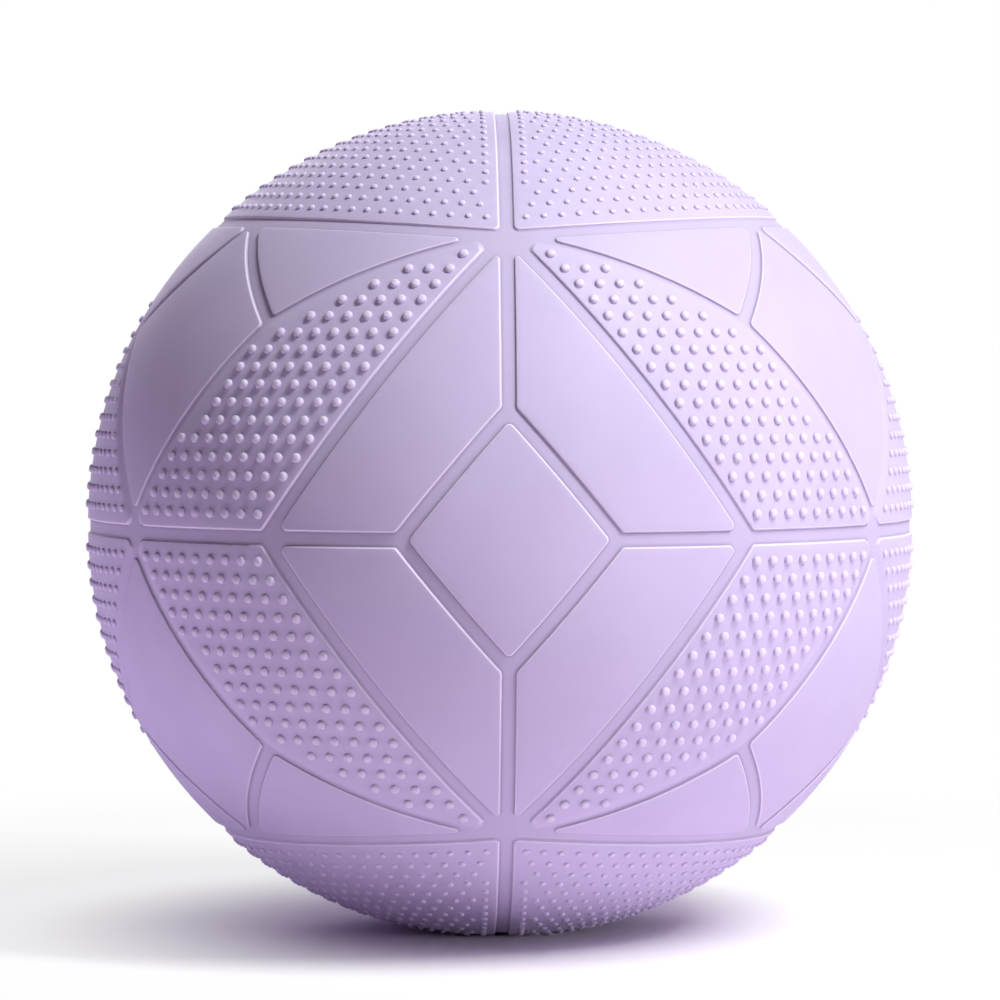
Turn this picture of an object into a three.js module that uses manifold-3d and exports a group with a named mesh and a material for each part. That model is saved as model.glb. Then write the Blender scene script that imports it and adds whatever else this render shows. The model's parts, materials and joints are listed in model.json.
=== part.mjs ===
// Pilates ball: raised panels bonded to a carcass over an air bladder, closed by a push-in plug.
// Millimetres and degrees. The front faces -Y, +X is right, +Z is up, and the origin is on the
// floor below the middle of the ball. The layout mirrors left to right, front to back and top to bottom.

import * as THREE from 'three';
import { mergeVertices } from 'three/addons/utils/BufferGeometryUtils.js';
import loadManifold from 'manifold-3d';

const wasm = await loadManifold();
wasm.setup();

// Walls, from the panel face inwards
const BALL_RADIUS = 125;
const PANEL_THICKNESS = 0.6;
const BOND_GAP = 0.3;
const CARCASS_WALL = 1.0;
const BLADDER_GAP = 0.3;
const BLADDER_WALL = 0.7;

// Channels between the panels, and the flat that the soft ball is pressed to where it rests
const CHANNEL_WIDTH = 4.2;
const FINE_CHANNEL_WIDTH = 3.0;
const CONTACT_RADIUS = 24;

// Massage studs, in rows along a channel. The solids carry every third stud of every third row.
const STUD_RADIUS = 1.5;
const STUD_HEIGHT = 1.05;
const STUD_PITCH = 5.4;
const STUD_ROW_PITCH = 5.35;
const STUD_FIRST_ROW = 4.5;
const STUD_ROW_START = 3.6;
const STUD_EDGE_CLEARANCE = 3.2;
const STUD_STRIDE = 3;
const STUD_SIDES = 5;

// Valve at the back, on the Y axis
const PLUG_STEM_RADIUS = 2.8;
const PLUG_LENGTH = 13;
const PLUG_TIP_CHAMFER = 0.8;
const PLUG_HEAD_RADIUS = 5.0;
const PLUG_HEAD_THICKNESS = 1.6;
const SEAT_LIP = 1.7;
const SEAT_RECESS = 0.5;
const SEAT_SLEEVE_WALL = 1.6;
const SEAT_FLANGE_WIDTH = 4.0;
const SEAT_FLANGE_THICKNESS = 1.2;
const VALVE_CLEARANCE = 0.3;

// Fineness of the facets
const FACET_DETAIL = 5;
const OUTLINE_STEP = 18;
const ROUND_SIDES = 20;

// Radii and heights that follow from the walls
const PANEL_INNER_RADIUS = BALL_RADIUS - PANEL_THICKNESS;
const CARCASS_RADIUS = PANEL_INNER_RADIUS - BOND_GAP;
const CARCASS_INNER_RADIUS = CARCASS_RADIUS - CARCASS_WALL;
const BLADDER_RADIUS = CARCASS_INNER_RADIUS - BLADDER_GAP;
const BLADDER_INNER_RADIUS = BLADDER_RADIUS - BLADDER_WALL;
const CENTRE_HEIGHT = Math.sqrt(BALL_RADIUS ** 2 - CONTACT_RADIUS ** 2);
const FAR_OUT = BALL_RADIUS * 2;
const DEEP_IN = BALL_RADIUS / 3;

const LAVENDER = new THREE.MeshStandardMaterial({ color: 0xc4b3da, roughness: 0.55, metalness: 0 });
const LAVENDER_BASE = new THREE.MeshStandardMaterial({ color: 0xb7a4d0, roughness: 0.6, metalness: 0 });
const BLACK_RUBBER = new THREE.MeshStandardMaterial({ color: 0x26242a, roughness: 0.7, metalness: 0 });
const VALVE_RUBBER = new THREE.MeshStandardMaterial({ color: 0xa590c4, roughness: 0.6, metalness: 0 });
const PLUG_PLASTIC = new THREE.MeshStandardMaterial({ color: 0xe9e6ee, roughness: 0.4, metalness: 0 });

// A unit direction from the middle of the ball. Azimuth turns from the front to the right.
function direction(azimuth, elevation) {
  const turn = THREE.MathUtils.degToRad(azimuth);
  const rise = THREE.MathUtils.degToRad(elevation);
  const level = Math.cos(rise);
  return new THREE.Vector3(Math.sin(turn) * level, -Math.cos(turn) * level, Math.sin(rise));
}

const mirrorX = ({ x, y, z }) => new THREE.Vector3(-x, y, z);
const mirrorY = ({ x, y, z }) => new THREE.Vector3(x, -y, z);
const mirrorZ = ({ x, y, z }) => new THREE.Vector3(x, y, -z);

const FRONT = direction(0, 0);
const SIDE = direction(90, 0);
const TOP = direction(0, 90);

// The places where channels meet, in the front upper right eighth of the ball
const DIAMOND_TOP = direction(0, 16.7);
const DIAMOND_SIDE = direction(14.1, 0);
const CREST = direction(0, 42.8);
const WAIST = direction(33, 0);
const KNEE = direction(38, 28.9);
const SHOULDER = direction(57, 46.2);
const HIP = direction(59, 0);
const TEMPLE = direction(80.5, 28.3);
const ARCH_TOP = direction(90, 34);

// The places that a curved channel goes through on its way
const KITE_BLADE_MIDDLE = direction(18.6, 20);
const BLADE_FIN_MIDDLE = direction(20, 37.6);
const BLADE_PETAL_MIDDLE = direction(49.6, 15);
const FIN_PETAL_MIDDLE = direction(44.4, 35);
const PETAL_CROWN_MIDDLE = direction(68, 36);
const ARCH_MIDDLE = direction(68.3, 15);

// A channel follows the circle that a plane through three points cuts on the unit sphere.
function channelThrough(start, middle, end, width) {
  const axis = middle.clone().sub(start).cross(end.clone().sub(start)).normalize();
  return { axis, reach: axis.angleTo(start), width };
}

function mirroredChannel(channel, mirror) {
  return { ...channel, axis: mirror(channel.axis) };
}

// Channels, named by the panels that they part
const MERIDIAN = channelThrough(FRONT, CREST, TOP, CHANNEL_WIDTH);
const EQUATOR = channelThrough(FRONT, WAIST, SIDE, CHANNEL_WIDTH);
const COLLAR = channelThrough(CREST, SHOULDER, mirrorY(CREST), CHANNEL_WIDTH);
const DIAMOND_KITE = {
  axis: DIAMOND_TOP.clone().cross(DIAMOND_SIDE).normalize(),
  reach: Math.PI / 2,
  width: CHANNEL_WIDTH,
};
const KITE_BLADE = channelThrough(CREST, KITE_BLADE_MIDDLE, WAIST, CHANNEL_WIDTH);
const FIN_PETAL = channelThrough(KNEE, FIN_PETAL_MIDDLE, SHOULDER, CHANNEL_WIDTH);
const BLADE_FIN = channelThrough(CREST, BLADE_FIN_MIDDLE, KNEE, FINE_CHANNEL_WIDTH);
const BLADE_PETAL = channelThrough(KNEE, BLADE_PETAL_MIDDLE, HIP, FINE_CHANNEL_WIDTH);
const PETAL_CROWN = channelThrough(SHOULDER, PETAL_CROWN_MIDDLE, TEMPLE, FINE_CHANNEL_WIDTH);
const ARCH = channelThrough(HIP, ARCH_MIDDLE, TEMPLE, FINE_CHANNEL_WIDTH);

const DIAMOND_KITE_LEFT = mirroredChannel(DIAMOND_KITE, mirrorX);
const DIAMOND_KITE_LOWER = mirroredChannel(DIAMOND_KITE, mirrorZ);
const DIAMOND_KITE_LOWER_LEFT = mirroredChannel(DIAMOND_KITE_LEFT, mirrorZ);
const ARCH_BEHIND = mirroredChannel(ARCH, mirrorY);
const PETAL_CROWN_BEHIND = mirroredChannel(PETAL_CROWN, mirrorY);

// Each panel: a direction inside it, and its edges in turn, each with the corner where the edge starts
const DIAMOND = {
  inside: FRONT,
  edges: [
    [DIAMOND_KITE, DIAMOND_TOP],
    [DIAMOND_KITE_LOWER, DIAMOND_SIDE],
    [DIAMOND_KITE_LOWER_LEFT, mirrorZ(DIAMOND_TOP)],
    [DIAMOND_KITE_LEFT, mirrorX(DIAMOND_SIDE)],
  ],
};
const KITE = {
  inside: direction(14, 16),
  edges: [[MERIDIAN, CREST], [DIAMOND_KITE, DIAMOND_TOP], [EQUATOR, DIAMOND_SIDE], [KITE_BLADE, WAIST]],
};
const BLADE = {
  inside: direction(34, 18),
  edges: [[KITE_BLADE, CREST], [EQUATOR, WAIST], [BLADE_PETAL, HIP], [BLADE_FIN, KNEE]],
  studs: { rowsAlong: EQUATOR, startsBeside: KITE_BLADE, near: KITE_BLADE_MIDDLE },
};
const FIN = {
  inside: direction(38, 38),
  edges: [[BLADE_FIN, CREST], [FIN_PETAL, KNEE], [COLLAR, SHOULDER]],
};
const PETAL = {
  inside: direction(60, 26),
  edges: [[FIN_PETAL, SHOULDER], [BLADE_PETAL, KNEE], [ARCH, HIP], [PETAL_CROWN, TEMPLE]],
};
const FLANK = {
  inside: direction(90, 12),
  edges: [[EQUATOR, HIP], [ARCH_BEHIND, mirrorY(HIP)], [ARCH, ARCH_TOP]],
  studs: { rowsAlong: EQUATOR, startsBeside: ARCH, near: ARCH_MIDDLE, mirrored: true },
};
const CROWN = {
  inside: direction(90, 41),
  edges: [
    [PETAL_CROWN, SHOULDER],
    [ARCH, TEMPLE],
    [ARCH_BEHIND, ARCH_TOP],
    [PETAL_CROWN_BEHIND, mirrorY(TEMPLE)],
    [COLLAR, mirrorY(SHOULDER)],
  ],
};
const CAP = {
  inside: direction(90, 70),
  edges: [[COLLAR, CREST], [MERIDIAN, mirrorY(CREST)]],
  studs: { rowsAlong: COLLAR, startsBeside: MERIDIAN, near: CREST, mirrored: true },
};

// A channel's circle moved towards the inside of a panel, by a distance from the channel's side
function lineBeside(channel, inside, distance) {
  const shift = (channel.width / 2 + distance) / BALL_RADIUS;
  const holdsInside = channel.axis.angleTo(inside) < channel.reach;
  return { axis: channel.axis, reach: channel.reach + (holdsInside ? -shift : shift) };
}

const edgeBeside = (channel, inside) => lineBeside(channel, inside, 0);

// The crossing of two circles on the unit sphere that lies nearest to a direction
function crossing(first, second, near) {
  const lean = first.axis.dot(second.axis);
  const square = 1 - lean ** 2;
  const firstHeight = Math.cos(first.reach);
  const secondHeight = Math.cos(second.reach);
  const foot = first.axis.clone().multiplyScalar((firstHeight - lean * secondHeight) / square);
  foot.addScaledVector(second.axis, (secondHeight - lean * firstHeight) / square);
  const along = first.axis.clone().cross(second.axis).normalize();
  const half = Math.sqrt(1 - foot.lengthSq());
  const ahead = foot.clone().addScaledVector(along, half);
  const behind = foot.clone().addScaledVector(along, -half);
  return ahead.distanceTo(near) < behind.distanceTo(near) ? ahead : behind;
}

// Directions along a circle from one corner up to, and without, the next
function arcPoints(circle, start, end) {
  const from = start.clone().projectOnPlane(circle.axis);
  const to = end.clone().projectOnPlane(circle.axis);
  const turn = Math.atan2(from.clone().cross(to).dot(circle.axis), from.dot(to));
  const length = Math.abs(turn) * Math.sin(circle.reach) * BALL_RADIUS;
  const steps = Math.ceil(length / OUTLINE_STEP);
  const points = [];
  for (let step = 0; step < steps; step += 1) {
    points.push(start.clone().applyAxisAngle(circle.axis, turn * step / steps));
  }
  return points;
}

function panelOutline({ inside, edges }) {
  const circles = edges.map(([channel]) => edgeBeside(channel, inside));
  const corners = edges.map(([, near], index) => crossing(circles.at(index - 1), circles[index], near));
  return circles.flatMap((circle, index) => {
    const next = corners[(index + 1) % corners.length];
    return arcPoints(circle, corners[index], next);
  });
}

// How far inside a circle a direction lies, on the panel's side of it
function depthInside(circle, inside, point) {
  const depth = (circle.reach - circle.axis.angleTo(point)) * BALL_RADIUS;
  return circle.axis.angleTo(inside) < circle.reach ? depth : -depth;
}

// The directions of the studs along one row, from beside the edge that rows start at
function studRow(row, start, ahead) {
  const turn = ahead * STUD_PITCH * STUD_STRIDE / (Math.sin(row.reach) * BALL_RADIUS);
  const count = Math.floor(Math.PI / Math.abs(turn));
  return Array.from({ length: count }, (_, step) => start.clone().applyAxisAngle(row.axis, turn * step));
}

// The directions of a panel's studs. A mirrored field is laid out in front and mirrored to the back.
function studDirections({ inside, edges, studs }) {
  const { rowsAlong, startsBeside, near, mirrored } = studs;
  const circles = edges.map(([channel]) => edgeBeside(channel, inside));
  const startLine = lineBeside(startsBeside, inside, STUD_ROW_START);
  const directions = [];
  for (let distance = STUD_FIRST_ROW; distance < BALL_RADIUS; distance += STUD_ROW_PITCH * STUD_STRIDE) {
    const row = lineBeside(rowsAlong, inside, distance);
    const start = crossing(row, startLine, near);
    if (row.reach > 0 && Number.isFinite(start.x)) {
      const onward = start.clone().applyAxisAngle(row.axis, STUD_PITCH / BALL_RADIUS);
      const ahead = depthInside(startLine, inside, onward) > 0 ? 1 : -1;
      directions.push(...studRow(row, start, ahead));
    }
  }
  const standing = directions.filter((point) => (
    circles.every((circle) => depthInside(circle, inside, point) > STUD_EDGE_CLEARANCE)
  ));
  if (!mirrored) {
    return standing;
  }
  const inFront = standing.filter((point) => point.y * BALL_RADIUS < -STUD_PITCH / 2);
  return [...inFront, ...inFront.map(mirrorY)];
}

function solidFrom(geometry) {
  geometry.deleteAttribute('normal');
  geometry.deleteAttribute('uv');
  const merged = mergeVertices(geometry);
  return new wasm.Manifold(new wasm.Mesh({
    numProp: 3,
    vertProperties: new Float32Array(merged.getAttribute('position').array),
    triVerts: new Uint32Array(merged.getIndex().array),
  }));
}

// A ball about the centre, pressed flat below so that each layer keeps its thickness over the floor
function pressedBall(radius) {
  const round = solidFrom(new THREE.IcosahedronGeometry(radius, FACET_DETAIL));
  const floor = BALL_RADIUS - radius - CENTRE_HEIGHT;
  const below = new THREE.BoxGeometry(FAR_OUT, FAR_OUT, FAR_OUT).translate(0, 0, floor - FAR_OUT / 2);
  return round.subtract(solidFrom(below));
}

function shell(outerRadius, innerRadius) {
  return pressedBall(outerRadius).subtract(pressedBall(innerRadius));
}

// A block with radial sides over an outline on the ball, from deep inside the shell to far outside it
function radialBlock(outline, inside) {
  const right = TOP.clone().cross(inside).normalize();
  const up = inside.clone().cross(right);
  const flat = (point) => new THREE.Vector2(point.dot(right), point.dot(up)).divideScalar(point.dot(inside));
  const ring = THREE.ShapeUtils.isClockWise(outline.map(flat)) ? outline.toReversed() : outline;
  const count = ring.length;
  const corners = [DEEP_IN, FAR_OUT].flatMap((radius) => (
    ring.flatMap((point) => point.clone().setLength(radius).toArray())
  ));
  const faces = THREE.ShapeUtils.triangulateShape(ring.map(flat), []);
  const triangles = faces.flatMap(([a, b, c]) => [a + count, b + count, c + count, a, c, b]);
  for (let here = 0; here < count; here += 1) {
    const next = (here + 1) % count;
    triangles.push(here, next, next + count, here, next + count, here + count);
  }
  const block = new THREE.BufferGeometry();
  block.setAttribute('position', new THREE.Float32BufferAttribute(corners, 3));
  block.setIndex(triangles);
  return solidFrom(block);
}

const PANEL_SHELL = shell(BALL_RADIUS, PANEL_INNER_RADIUS);
const FACETED_BALL = new THREE.Mesh(new THREE.IcosahedronGeometry(BALL_RADIUS, FACET_DETAIL));

// A stud that stands on the facet below it, rooted half through the panel
function studSolid(point) {
  const ray = new THREE.Raycaster(point.clone().multiplyScalar(FAR_OUT), point.clone().negate());
  const [{ distance }] = ray.intersectObject(FACETED_BALL);
  const root = PANEL_THICKNESS / 2;
  const cone = new THREE.ConeGeometry(STUD_RADIUS, STUD_HEIGHT + root, STUD_SIDES);
  cone.translate(0, FAR_OUT - distance + (STUD_HEIGHT - root) / 2, 0);
  cone.applyQuaternion(new THREE.Quaternion().setFromUnitVectors(new THREE.Vector3(0, 1, 0), point));
  return solidFrom(cone);
}

// A panel cut from the shell, with its outline mirrored to the part of the ball that the signs name.
// The studs on the flat that the ball rests on are pressed level with it and left out.
function panelSolid(panel, signs) {
  const place = (point) => point.clone().multiply(signs);
  const plain = PANEL_SHELL.intersect(radialBlock(panelOutline(panel).map(place), place(panel.inside)));
  const studs = panel.studs ? studDirections(panel).map(place) : [];
  const standing = studs.filter((point) => point.z * (BALL_RADIUS + STUD_HEIGHT) > -CENTRE_HEIGHT);
  return standing.reduce((solid, point) => solid.add(studSolid(point)), plain);
}

// Valve sizes that follow from the plug and the ball
const BORE_RADIUS = PLUG_STEM_RADIUS + VALVE_CLEARANCE;
const SLEEVE_RADIUS = BORE_RADIUS + SEAT_SLEEVE_WALL;
const POCKET_RADIUS = PLUG_HEAD_RADIUS + VALVE_CLEARANCE;
const NECK_RADIUS = POCKET_RADIUS + SEAT_LIP;
const NECK_HOLE_RADIUS = NECK_RADIUS + VALVE_CLEARANCE;
const FLANGE_RADIUS = NECK_RADIUS + SEAT_FLANGE_WIDTH;
const MOUTH = Math.sqrt(BALL_RADIUS ** 2 - NECK_HOLE_RADIUS ** 2) - SEAT_RECESS;
const HEAD_FLOOR = MOUTH - PLUG_HEAD_THICKNESS;
const POCKET_FLOOR = HEAD_FLOOR - VALVE_CLEARANCE;
const PLUG_TIP = MOUTH - PLUG_LENGTH;

// The height of the flange under the bladder, whose flat facets lie inside its radius
function flangeTop(radius) {
  const facetAngle = Math.atan(2) / (FACET_DETAIL + 1) / Math.sqrt(3);
  const facetRadius = BLADDER_INNER_RADIUS * Math.cos(facetAngle);
  return Math.sqrt(facetRadius ** 2 - radius ** 2) - VALVE_CLEARANCE;
}

// A round solid about the Y axis from points of radius and distance along Y
function turnedAboutY(profile) {
  const points = profile.map(([radius, along]) => new THREE.Vector2(radius, along));
  return solidFrom(new THREE.LatheGeometry(points, ROUND_SIDES));
}

function valveHole() {
  return turnedAboutY([[0, DEEP_IN], [NECK_HOLE_RADIUS, DEEP_IN], [NECK_HOLE_RADIUS, FAR_OUT], [0, FAR_OUT]]);
}

function valveSeat() {
  const flangeFloor = flangeTop(FLANGE_RADIUS) - SEAT_FLANGE_THICKNESS;
  return turnedAboutY([
    [BORE_RADIUS, PLUG_TIP],
    [SLEEVE_RADIUS, PLUG_TIP],
    [SLEEVE_RADIUS, flangeFloor],
    [FLANGE_RADIUS, flangeFloor],
    [FLANGE_RADIUS, flangeTop(FLANGE_RADIUS)],
    [NECK_RADIUS, flangeTop(NECK_RADIUS)],
    [NECK_RADIUS, MOUTH],
    [POCKET_RADIUS, MOUTH],
    [POCKET_RADIUS, POCKET_FLOOR],
    [BORE_RADIUS, POCKET_FLOOR],
    [BORE_RADIUS, PLUG_TIP],
  ]);
}

function airPlug() {
  return turnedAboutY([
    [0, PLUG_TIP],
    [PLUG_STEM_RADIUS - PLUG_TIP_CHAMFER, PLUG_TIP],
    [PLUG_STEM_RADIUS, PLUG_TIP + PLUG_TIP_CHAMFER],
    [PLUG_STEM_RADIUS, HEAD_FLOOR],
    [PLUG_HEAD_RADIUS, HEAD_FLOOR],
    [PLUG_HEAD_RADIUS, MOUTH],
    [0, MOUTH],
  ]);
}

const pilatesBall = new THREE.Group();
const ball = new THREE.Group();
ball.position.z = CENTRE_HEIGHT;
pilatesBall.add(ball);

function addPiece(name, solid, material) {
  const { vertProperties, triVerts } = solid.getMesh();
  const geometry = new THREE.BufferGeometry();
  geometry.setAttribute('position', new THREE.BufferAttribute(vertProperties, 3));
  geometry.setIndex(new THREE.BufferAttribute(triVerts, 1));
  geometry.computeVertexNormals();
  const mesh = new THREE.Mesh(geometry, material);
  mesh.name = name;
  ball.add(mesh);
}

function addPanel(kind, panel, places) {
  const signs = new THREE.Vector3(1, 1, 1);
  for (const { axis, sign } of places) {
    signs[axis] = sign;
  }
  const name = [kind, 'panel', ...places.map((place) => place.word)].join('_');
  addPiece(name, panelSolid(panel, signs), LAVENDER);
}

const FRONT_BACK = [{ word: 'front', axis: 'y', sign: 1 }, { word: 'back', axis: 'y', sign: -1 }];
const UPPER_LOWER = [{ word: 'upper', axis: 'z', sign: 1 }, { word: 'lower', axis: 'z', sign: -1 }];
const RIGHT_LEFT = [{ word: 'right', axis: 'x', sign: 1 }, { word: 'left', axis: 'x', sign: -1 }];

for (const upperLower of UPPER_LOWER) {
  for (const rightLeft of RIGHT_LEFT) {
    for (const frontBack of FRONT_BACK) {
      const places = [frontBack, upperLower, rightLeft];
      addPanel('kite', KITE, places);
      addPanel('blade', BLADE, places);
      addPanel('fin', FIN, places);
      addPanel('petal', PETAL, places);
    }
    addPanel('flank', FLANK, [upperLower, rightLeft]);
    addPanel('crown', CROWN, [upperLower, rightLeft]);
    addPanel('cap', CAP, [upperLower, rightLeft]);
  }
}

// The back diamond and the layers below it are cut for the valve.
const BACK = new THREE.Vector3(1, -1, 1);
addPanel('diamond', DIAMOND, [FRONT_BACK[0]]);
addPiece('diamond_panel_back', panelSolid(DIAMOND, BACK).subtract(valveHole()), LAVENDER);
addPiece('carcass', shell(CARCASS_RADIUS, CARCASS_INNER_RADIUS).subtract(valveHole()), LAVENDER_BASE);
addPiece('bladder', shell(BLADDER_RADIUS, BLADDER_INNER_RADIUS).subtract(valveHole()), BLACK_RUBBER);
addPiece('valve_seat', valveSeat(), VALVE_RUBBER);
addPiece('air_plug', airPlug(), PLUG_PLASTIC);

export default pilatesBall;
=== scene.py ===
"""Pilates ball: moulded panels with massage studs on a carcass, closed by a valve seat and an air plug.

Metres. The front faces -Y, +X is right, +Z is up and the floor is z = 0, as in the frame.
Panels are modelled about the middle of the ball and then lifted to its height.
"""

import json
import logging
import math
from collections.abc import Callable, Iterator
from contextlib import contextmanager
from dataclasses import dataclass, field
from enum import Enum
from itertools import product

import bmesh
import bpy
from mathutils import Matrix, Vector

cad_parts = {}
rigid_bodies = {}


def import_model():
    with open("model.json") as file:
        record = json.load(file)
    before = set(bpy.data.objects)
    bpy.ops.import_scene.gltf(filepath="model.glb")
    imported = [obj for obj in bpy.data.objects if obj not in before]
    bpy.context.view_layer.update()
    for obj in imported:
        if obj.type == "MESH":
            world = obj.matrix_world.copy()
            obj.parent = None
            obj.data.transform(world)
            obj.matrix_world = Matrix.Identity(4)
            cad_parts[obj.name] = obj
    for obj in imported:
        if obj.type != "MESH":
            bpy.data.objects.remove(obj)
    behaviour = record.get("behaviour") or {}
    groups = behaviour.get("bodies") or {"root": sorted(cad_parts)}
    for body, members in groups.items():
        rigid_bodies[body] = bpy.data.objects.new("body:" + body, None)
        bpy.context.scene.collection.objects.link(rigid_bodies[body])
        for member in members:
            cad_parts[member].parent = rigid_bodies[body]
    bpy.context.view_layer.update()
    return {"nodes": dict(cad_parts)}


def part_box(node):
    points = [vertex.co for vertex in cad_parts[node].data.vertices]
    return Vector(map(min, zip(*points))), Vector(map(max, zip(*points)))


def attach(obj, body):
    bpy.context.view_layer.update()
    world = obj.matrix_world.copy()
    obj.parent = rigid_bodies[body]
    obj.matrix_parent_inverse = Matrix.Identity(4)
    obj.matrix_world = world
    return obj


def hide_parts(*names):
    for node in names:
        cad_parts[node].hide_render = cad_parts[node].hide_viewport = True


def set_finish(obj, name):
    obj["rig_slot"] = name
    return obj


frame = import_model()
LOG = logging.getLogger("pilates_ball")

Piece = bpy.types.Object
Tree = bpy.types.NodeTree
Socket = bpy.types.NodeSocket
Signs = tuple[int, int, int]

MM = 0.001
HAIR = 0.01 * MM
TINY = 1e-9
CREASE = math.radians(50)
LIP_HIGHLIGHT = "lip"
WHITE = "#FFFFFF"
MIDDLE = Vector((0.0, 0.0, 0.0))
UP = Vector((0.0, 0.0, 1.0))

# The ball's own sizes, as the frame has them
BALL_RADIUS = -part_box("diamond_panel_front")[0].y
CARCASS_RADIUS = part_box("carcass")[1].x
CENTRE_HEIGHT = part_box("carcass")[1].z - CARCASS_RADIUS
PLUG_TIP, MOUTH = (corner.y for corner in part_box("air_plug"))

# Channels between the panels, whose floor is the carcass with the bond that fills the gap above it
CHANNEL_WIDTH = 4.2 * MM
FINE_CHANNEL_WIDTH = 3.0 * MM
CHANNEL_DEPTH = 0.72 * MM
FLOOR_RADIUS = BALL_RADIUS - CHANNEL_DEPTH


def direction(azimuth: float, elevation: float) -> Vector:
    """Give a unit direction from the middle of the ball.

    Args:
        azimuth: Degrees from the front towards the right.
        elevation: Degrees above the equator.

    Returns:
        The direction as a unit vector.
    """
    turn, rise = math.radians(azimuth), math.radians(elevation)
    level = math.cos(rise)
    return Vector((math.sin(turn) * level, -math.cos(turn) * level, math.sin(rise)))


def mirror(point: Vector, signs: Signs) -> Vector:
    """Mirror a point or direction in the planes whose sign is -1."""
    return Vector(value * sign for value, sign in zip(point, signs))


LEFT = (-1, 1, 1)
BEHIND = (1, -1, 1)
BELOW = (1, 1, -1)
LEFT_BELOW = (-1, 1, -1)

FRONT = direction(0, 0)
SIDE = direction(90, 0)
TOP = direction(0, 90)

# The places where channels meet, in the front upper right eighth of the ball
DIAMOND_TOP = direction(0, 16.7)
DIAMOND_SIDE = direction(14.1, 0)
CREST = direction(0, 42.8)
WAIST = direction(33, 0)
KNEE = direction(38, 28.9)
SHOULDER = direction(57, 46.2)
HIP = direction(59, 1.7)
TEMPLE = direction(80.5, 28.3)
ARCH_TOP = direction(90, 34)

# Places on the way along curved channels
KITE_BLADE_MIDDLE = direction(18.6, 20)
ARCH_MIDDLE = direction(68.3, 15)
FIN_PETAL_MIDDLE = direction(44.4, 35)
BLADE_FIN_MIDDLE = direction(20, 37.6)
BLADE_PETAL_MIDDLE = direction(49.6, 15)
PETAL_CROWN_MIDDLE = direction(68, 36)


class EdgeForm(Enum):
    """How a panel's edge goes down to the channel floor."""

    CRISP = "a small round and a steep wall"
    EASED = "a long soft slope"


class Slot(Enum):
    """The record's material slots."""

    SMOOTH_PANEL = "smooth_panel"
    STUDDED_PANEL = "studded_panel"
    CARCASS = "carcass"
    BLADDER = "bladder"
    VALVE_SEAT = "valve_seat"
    AIR_PLUG = "air_plug"


@dataclass(frozen=True)
class Circle:
    """A circle on the ball: all directions at one angle from an axis."""

    axis: Vector
    reach: float

    def holds(self, point: Vector) -> bool:
        """Tell whether a direction lies inside the circle, on the axis' side."""
        return self.axis.angle(point) < self.reach

    def mirrored(self, signs: Signs) -> "Circle":
        """Give the circle's mirror image."""
        return Circle(mirror(self.axis, signs), self.reach)

    def moved(self, inside: Vector, distance: float) -> "Circle":
        """Give the circle moved along the ball's face by a distance, towards a direction inside a panel."""
        shift = distance / BALL_RADIUS
        return Circle(self.axis, self.reach + (-shift if self.holds(inside) else shift))

    def distance(self, point: Vector) -> float:
        """Give the distance along the ball's face from a direction to the circle."""
        return abs(self.axis.angle(point) - self.reach) * BALL_RADIUS

    def nearest(self, point: Vector) -> Vector:
        """Give the direction on the circle that is nearest to another direction."""
        across = (point - self.axis * point.dot(self.axis)).normalized()
        return self.axis * math.cos(self.reach) + across * math.sin(self.reach)

    def outward(self, point: Vector, inside: Vector) -> Vector:
        """Give the unit vector at a point, along the face, that leaves the panel across this circle."""
        across = (self.axis - point * point.dot(self.axis)).normalized()
        return -across if self.holds(inside) else across

    def crossing(self, other: "Circle", near: Vector) -> Vector:
        """Find where two circles cross, nearest to a direction.

        Args:
            other: The circle that this one crosses.
            near: A direction near the wanted crossing.

        Returns:
            The crossing as a unit vector.
        """
        lean = self.axis.dot(other.axis)
        here, there = math.cos(self.reach), math.cos(other.reach)
        foot = self.axis * (here - lean * there) + other.axis * (there - lean * here)
        foot /= 1 - lean * lean
        along = self.axis.cross(other.axis).normalized()
        half = along * math.sqrt(max(0.0, 1 - foot.length_squared))
        return min((foot + half, foot - half), key=lambda point: (point - near).length)


@dataclass(frozen=True)
class Channel:
    """A channel between panels: the circle along its middle, and its width."""

    circle: Circle
    width: float = CHANNEL_WIDTH

    @classmethod
    def through(cls, start: Vector, middle: Vector, end: Vector, width: float = CHANNEL_WIDTH) -> "Channel":
        """Lay a channel of a width through three directions, on the circle that their plane cuts."""
        axis = (middle - start).cross(end - start).normalized()
        return cls(Circle(axis, axis.angle(start)), width)

    def mirrored(self, signs: Signs) -> "Channel":
        """Give the channel's mirror image."""
        return Channel(self.circle.mirrored(signs), self.width)

    def line_inside(self, inside: Vector, margin: float) -> Circle:
        """Give the circle that lies a margin away from the channel's side, on a panel's face."""
        return self.circle.moved(inside, self.width / 2 + margin)


# Channels, named by the panels that they part
MERIDIAN = Channel.through(FRONT, CREST, TOP)
EQUATOR = Channel.through(FRONT, WAIST, SIDE)
COLLAR = Channel.through(CREST, SHOULDER, mirror(CREST, BEHIND))
DIAMOND_KITE = Channel(Circle(DIAMOND_TOP.cross(DIAMOND_SIDE).normalized(), math.pi / 2))
KITE_BLADE = Channel.through(CREST, KITE_BLADE_MIDDLE, WAIST)
FIN_PETAL = Channel.through(KNEE, FIN_PETAL_MIDDLE, SHOULDER)
BLADE_FIN = Channel.through(CREST, BLADE_FIN_MIDDLE, KNEE, FINE_CHANNEL_WIDTH)
BLADE_PETAL = Channel.through(KNEE, BLADE_PETAL_MIDDLE, HIP, FINE_CHANNEL_WIDTH)
PETAL_CROWN = Channel.through(SHOULDER, PETAL_CROWN_MIDDLE, TEMPLE, FINE_CHANNEL_WIDTH)
ARCH = Channel.through(HIP, ARCH_MIDDLE, TEMPLE, FINE_CHANNEL_WIDTH)


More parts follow.
